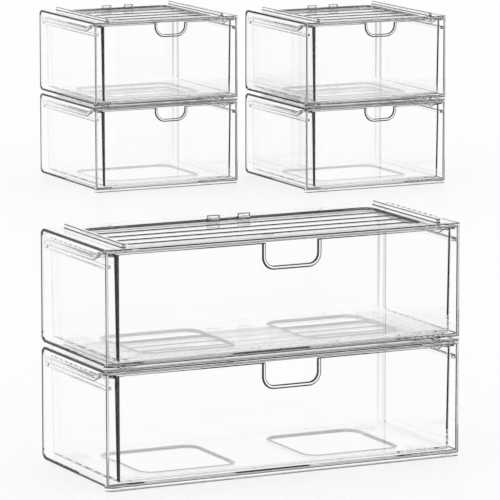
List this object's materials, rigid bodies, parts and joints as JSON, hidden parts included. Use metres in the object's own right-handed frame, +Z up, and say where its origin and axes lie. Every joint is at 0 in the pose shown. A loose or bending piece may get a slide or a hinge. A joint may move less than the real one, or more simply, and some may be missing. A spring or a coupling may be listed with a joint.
{
  "type": "stackable storage drawers",
  "caption": "Clear stackable craft drawer units: moulded open-front cases with round feet and top ribs, each holding a rim-hung drawer with a finger notch.",
  "frame": {"origin": "middle of the ground that the whole set covers, at floor level", "axes": "+Z up; every drawer opens towards -Y; +X to the right of someone who faces the drawers"},
  "size_m": [1.1994, 1.8516, 0.228],
  "materials": {
    "clear_case": "crystal clear moulded polystyrene, polished, grey at its edges",
    "clear_drawer": "crystal clear moulded polystyrene, polished, darker at its thick front edges",
    "clear_feet": "clear soft plastic, slightly cloudy"
  },
  "bodies": {
    "lower_cases": {"wide_lower_case": "clear_case", "wide_lower_feet": "clear_feet", "left_lower_case": "clear_case", "left_lower_feet": "clear_feet", "right_lower_case": "clear_case", "right_lower_feet": "clear_feet"},
    "wide_lower_drawer": {"wide_lower_drawer": "clear_drawer"},
    "wide_upper_case": {"wide_upper_case": "clear_case", "wide_upper_feet": "clear_feet"},
    "wide_upper_drawer": {"wide_upper_drawer": "clear_drawer"},
    "left_lower_drawer": {"left_lower_drawer": "clear_drawer"},
    "left_upper_case": {"left_upper_case": "clear_case", "left_upper_feet": "clear_feet"},
    "left_upper_drawer": {"left_upper_drawer": "clear_drawer"},
    "right_lower_drawer": {"right_lower_drawer": "clear_drawer"},
    "right_upper_case": {"right_upper_case": "clear_case", "right_upper_feet": "clear_feet"},
    "right_upper_drawer": {"right_upper_drawer": "clear_drawer"}
  },
  "joints": [
    {"name": "wide_lower_drawer_slide", "type": "slide", "parent": "lower_cases", "child": "wide_lower_drawer", "axis": [0, -1, 0], "range_m": [0, 0.102]},
    {"name": "wide_upper_case_lift", "type": "slide", "parent": "lower_cases", "child": "wide_upper_case", "axis": [0, 0, 1], "range_m": [0, 0.03]},
    {"name": "wide_upper_drawer_slide", "type": "slide", "parent": "wide_upper_case", "child": "wide_upper_drawer", "axis": [0, -1, 0], "range_m": [0, 0.102]},
    {"name": "left_lower_drawer_slide", "type": "slide", "parent": "lower_cases", "child": "left_lower_drawer", "axis": [0, -1, 0], "range_m": [0, 0.136]},
    {"name": "left_upper_case_lift", "type": "slide", "parent": "lower_cases", "child": "left_upper_case", "axis": [0, 0, 1], "range_m": [0, 0.03]},
    {"name": "left_upper_drawer_slide", "type": "slide", "parent": "left_upper_case", "child": "left_upper_drawer", "axis": [0, -1, 0], "range_m": [0, 0.136]},
    {"name": "right_lower_drawer_slide", "type": "slide", "parent": "lower_cases", "child": "right_lower_drawer", "axis": [0, -1, 0], "range_m": [0, 0.136]},
    {"name": "right_upper_case_lift", "type": "slide", "parent": "lower_cases", "child": "right_upper_case", "axis": [0, 0, 1], "range_m": [0, 0.03]},
    {"name": "right_upper_drawer_slide", "type": "slide", "parent": "right_upper_case", "child": "right_upper_drawer", "axis": [0, -1, 0], "range_m": [0, 0.136]}
  ]
}
